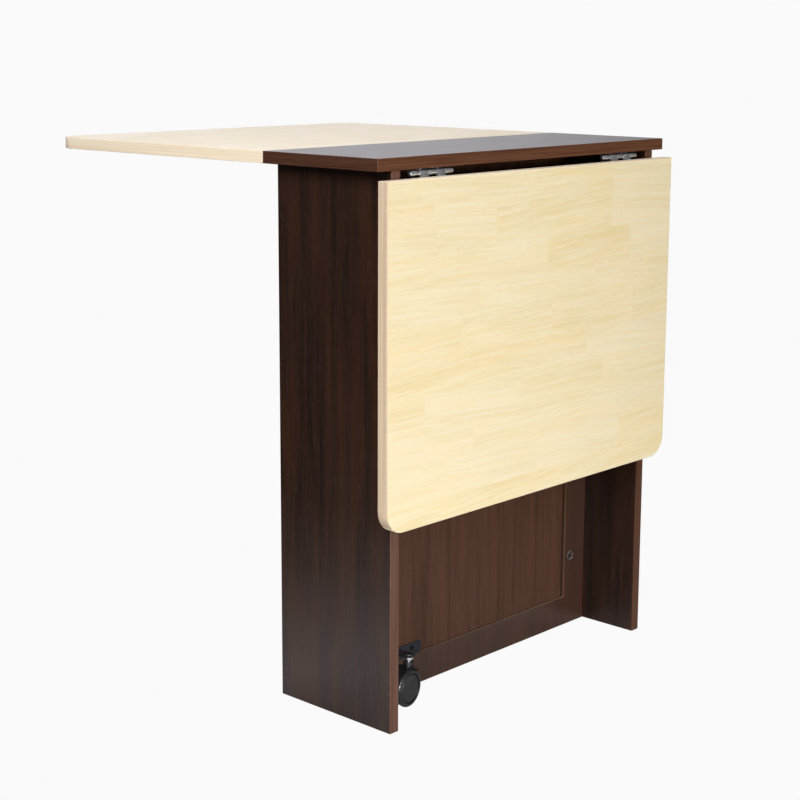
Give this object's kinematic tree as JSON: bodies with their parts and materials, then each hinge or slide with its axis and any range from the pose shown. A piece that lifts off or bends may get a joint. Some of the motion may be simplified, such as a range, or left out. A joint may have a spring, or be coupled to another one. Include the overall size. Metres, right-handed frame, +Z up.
{
  "type": "folding dining table",
  "caption": "Drop-leaf dining table: narrow dark carcass, pale leaves on butt hinges, one level and one hanging, and hinged gates on castors that prop the raised leaves.",
  "frame": {"origin": "on the floor under the middle of the centre board", "axes": "+X along the table to the gates' hinges, -Y to the hanging front leaf, +Z up"},
  "size_m": [0.6, 0.6605, 0.74],
  "materials": {
    "wenge_board": "satin",
    "maple_board": "satin",
    "zinc_steel": "zinc plated",
    "black_steel": "black painted",
    "black_plastic": "matte"
  },
  "bodies": {
    "carcass": {"top_panel": "wenge_board", "left_side_panel": "wenge_board", "right_side_panel": "wenge_board", "centre_panel": "wenge_board", "left_lower_centre_cam": "zinc_steel", "left_upper_centre_cam": "zinc_steel", "right_lower_centre_cam": "zinc_steel", "right_upper_centre_cam": "zinc_steel", "left_front_top_cam": "zinc_steel", "left_rear_top_cam": "zinc_steel", "right_front_top_cam": "zinc_steel", "right_rear_top_cam": "zinc_steel", "front_left_top_plate": "zinc_steel", "front_right_top_plate": "zinc_steel", "rear_left_top_plate": "zinc_steel", "rear_right_top_plate": "zinc_steel", "front_left_leaf_pin": "zinc_steel", "front_right_leaf_pin": "zinc_steel", "rear_left_leaf_pin": "zinc_steel", "rear_right_leaf_pin": "zinc_steel", "front_lower_stile_plate": "zinc_steel", "front_upper_stile_plate": "zinc_steel", "rear_lower_stile_plate": "zinc_steel", "rear_upper_stile_plate": "zinc_steel", "front_lower_gate_pin": "zinc_steel", "front_upper_gate_pin": "zinc_steel", "rear_lower_gate_pin": "zinc_steel", "rear_upper_gate_pin": "zinc_steel"},
    "front_leaf": {"front_leaf": "maple_board", "front_leaf_rest_block": "maple_board", "front_left_leaf_plate": "zinc_steel", "front_right_leaf_plate": "zinc_steel"},
    "rear_leaf": {"rear_leaf": "maple_board", "rear_leaf_rest_block": "maple_board", "rear_left_leaf_plate": "zinc_steel", "rear_right_leaf_plate": "zinc_steel"},
    "front_gate": {"front_gate": "wenge_board", "front_lower_gate_plate": "zinc_steel", "front_upper_gate_plate": "zinc_steel", "front_castor_bracket": "black_steel", "front_castor_left_screw": "black_steel", "front_castor_right_screw": "black_steel", "front_castor_stem": "zinc_steel"},
    "rear_gate": {"rear_gate": "wenge_board", "rear_lower_gate_plate": "zinc_steel", "rear_upper_gate_plate": "zinc_steel", "rear_castor_bracket": "black_steel", "rear_castor_left_screw": "black_steel", "rear_castor_right_screw": "black_steel", "rear_castor_stem": "zinc_steel"},
    "front_castor": {"front_castor_hood": "black_plastic", "front_castor_axle": "zinc_steel"},
    "front_castor_front_wheel": {"front_castor_front_wheel": "black_plastic"},
    "front_castor_rear_wheel": {"front_castor_rear_wheel": "black_plastic"},
    "rear_castor": {"rear_castor_hood": "black_plastic", "rear_castor_axle": "zinc_steel"},
    "rear_castor_front_wheel": {"rear_castor_front_wheel": "black_plastic"},
    "rear_castor_rear_wheel": {"rear_castor_rear_wheel": "black_plastic"}
  },
  "joints": [
    {"name": "front_leaf_fold", "type": "hinge", "parent": "carcass", "child": "front_leaf", "pos_m": [0, -0.0965, 0.7185], "axis": [-1, 0, 0], "range_deg": [0, 90]},
    {"name": "rear_leaf_fold", "type": "hinge", "parent": "carcass", "child": "rear_leaf", "pos_m": [0, 0.0965, 0.7185], "axis": [1, 0, 0], "range_deg": [-90, 0]},
    {"name": "front_gate_swing", "type": "hinge", "parent": "carcass", "child": "front_gate", "pos_m": [0.206, -0.012, 0.45], "axis": [0, 0, 1], "range_deg": [0, 12]},
    {"name": "rear_gate_swing", "type": "hinge", "parent": "carcass", "child": "rear_gate", "pos_m": [0.234, 0.012, 0.45], "axis": [0, 0, -1], "range_deg": [0, 90]},
    {"name": "front_castor_swivel", "type": "hinge", "parent": "front_gate", "child": "front_castor", "pos_m": [-0.181, -0.0465, 0.05], "axis": [0, 0, 1], "continuous": true},
    {"name": "front_castor_front_spin", "type": "hinge", "parent": "front_castor", "child": "front_castor_front_wheel", "pos_m": [-0.1909, -0.04789, 0.0263], "axis": [-0.1392, 0.9903, 0], "continuous": true},
    {"name": "front_castor_rear_spin", "type": "hinge", "parent": "front_castor", "child": "front_castor_rear_wheel", "pos_m": [-0.1909, -0.04789, 0.0263], "axis": [-0.1392, 0.9903, 0], "continuous": true},
    {"name": "rear_castor_swivel", "type": "hinge", "parent": "rear_gate", "child": "rear_castor", "pos_m": [-0.181, 0.0628, 0.05], "axis": [0, 0, 1], "continuous": true},
    {"name": "rear_castor_front_spin", "type": "hinge", "parent": "rear_castor", "child": "rear_castor_front_wheel", "pos_m": [-0.1909, 0.06419, 0.0263], "axis": [0.1392, 0.9903, 0], "continuous": true},
    {"name": "rear_castor_rear_spin", "type": "hinge", "parent": "rear_castor", "child": "rear_castor_rear_wheel", "pos_m": [-0.1909, 0.06419, 0.0263], "axis": [0.1392, 0.9903, 0], "continuous": true}
  ]
}
